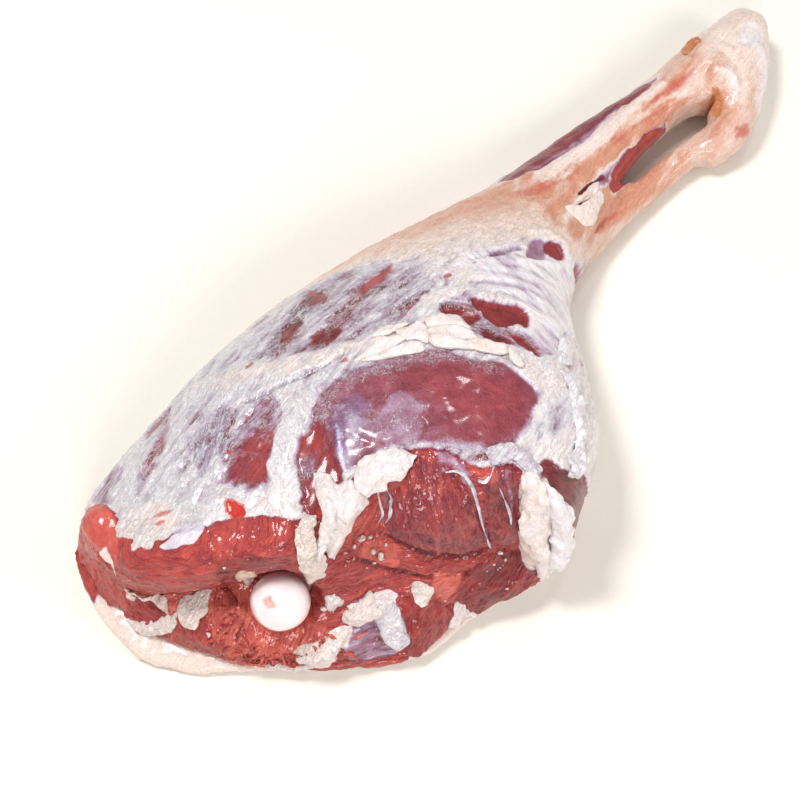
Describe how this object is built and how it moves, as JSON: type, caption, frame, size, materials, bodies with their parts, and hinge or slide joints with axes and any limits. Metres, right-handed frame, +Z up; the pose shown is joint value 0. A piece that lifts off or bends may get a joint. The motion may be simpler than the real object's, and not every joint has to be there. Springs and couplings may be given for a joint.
{
  "type": "raw leg of lamb",
  "caption": "Raw bone-in leg of lamb lying on its outer side, with the hip ball in the cut face, a fat cover below, and an open slot between shank and tendon.",
  "frame": {"origin": "under the middle of the whole object, on the surface it lies on", "axes": "+X from the cut face along the leg to the hock, +Y towards the knee side, +Z up away from the surface"},
  "size_m": [0.477, 0.1976, 0.0941],
  "materials": {
    "meat": "moist red muscle under white and pearly membrane",
    "fat": "cream outer fat, softly moist",
    "bone": "smooth wet cartilage, pinkish white"
  },
  "bodies": {
    "root": {"meat": "meat", "fat_cover": "fat", "femur": "bone"}
  },
  "joints": []
}
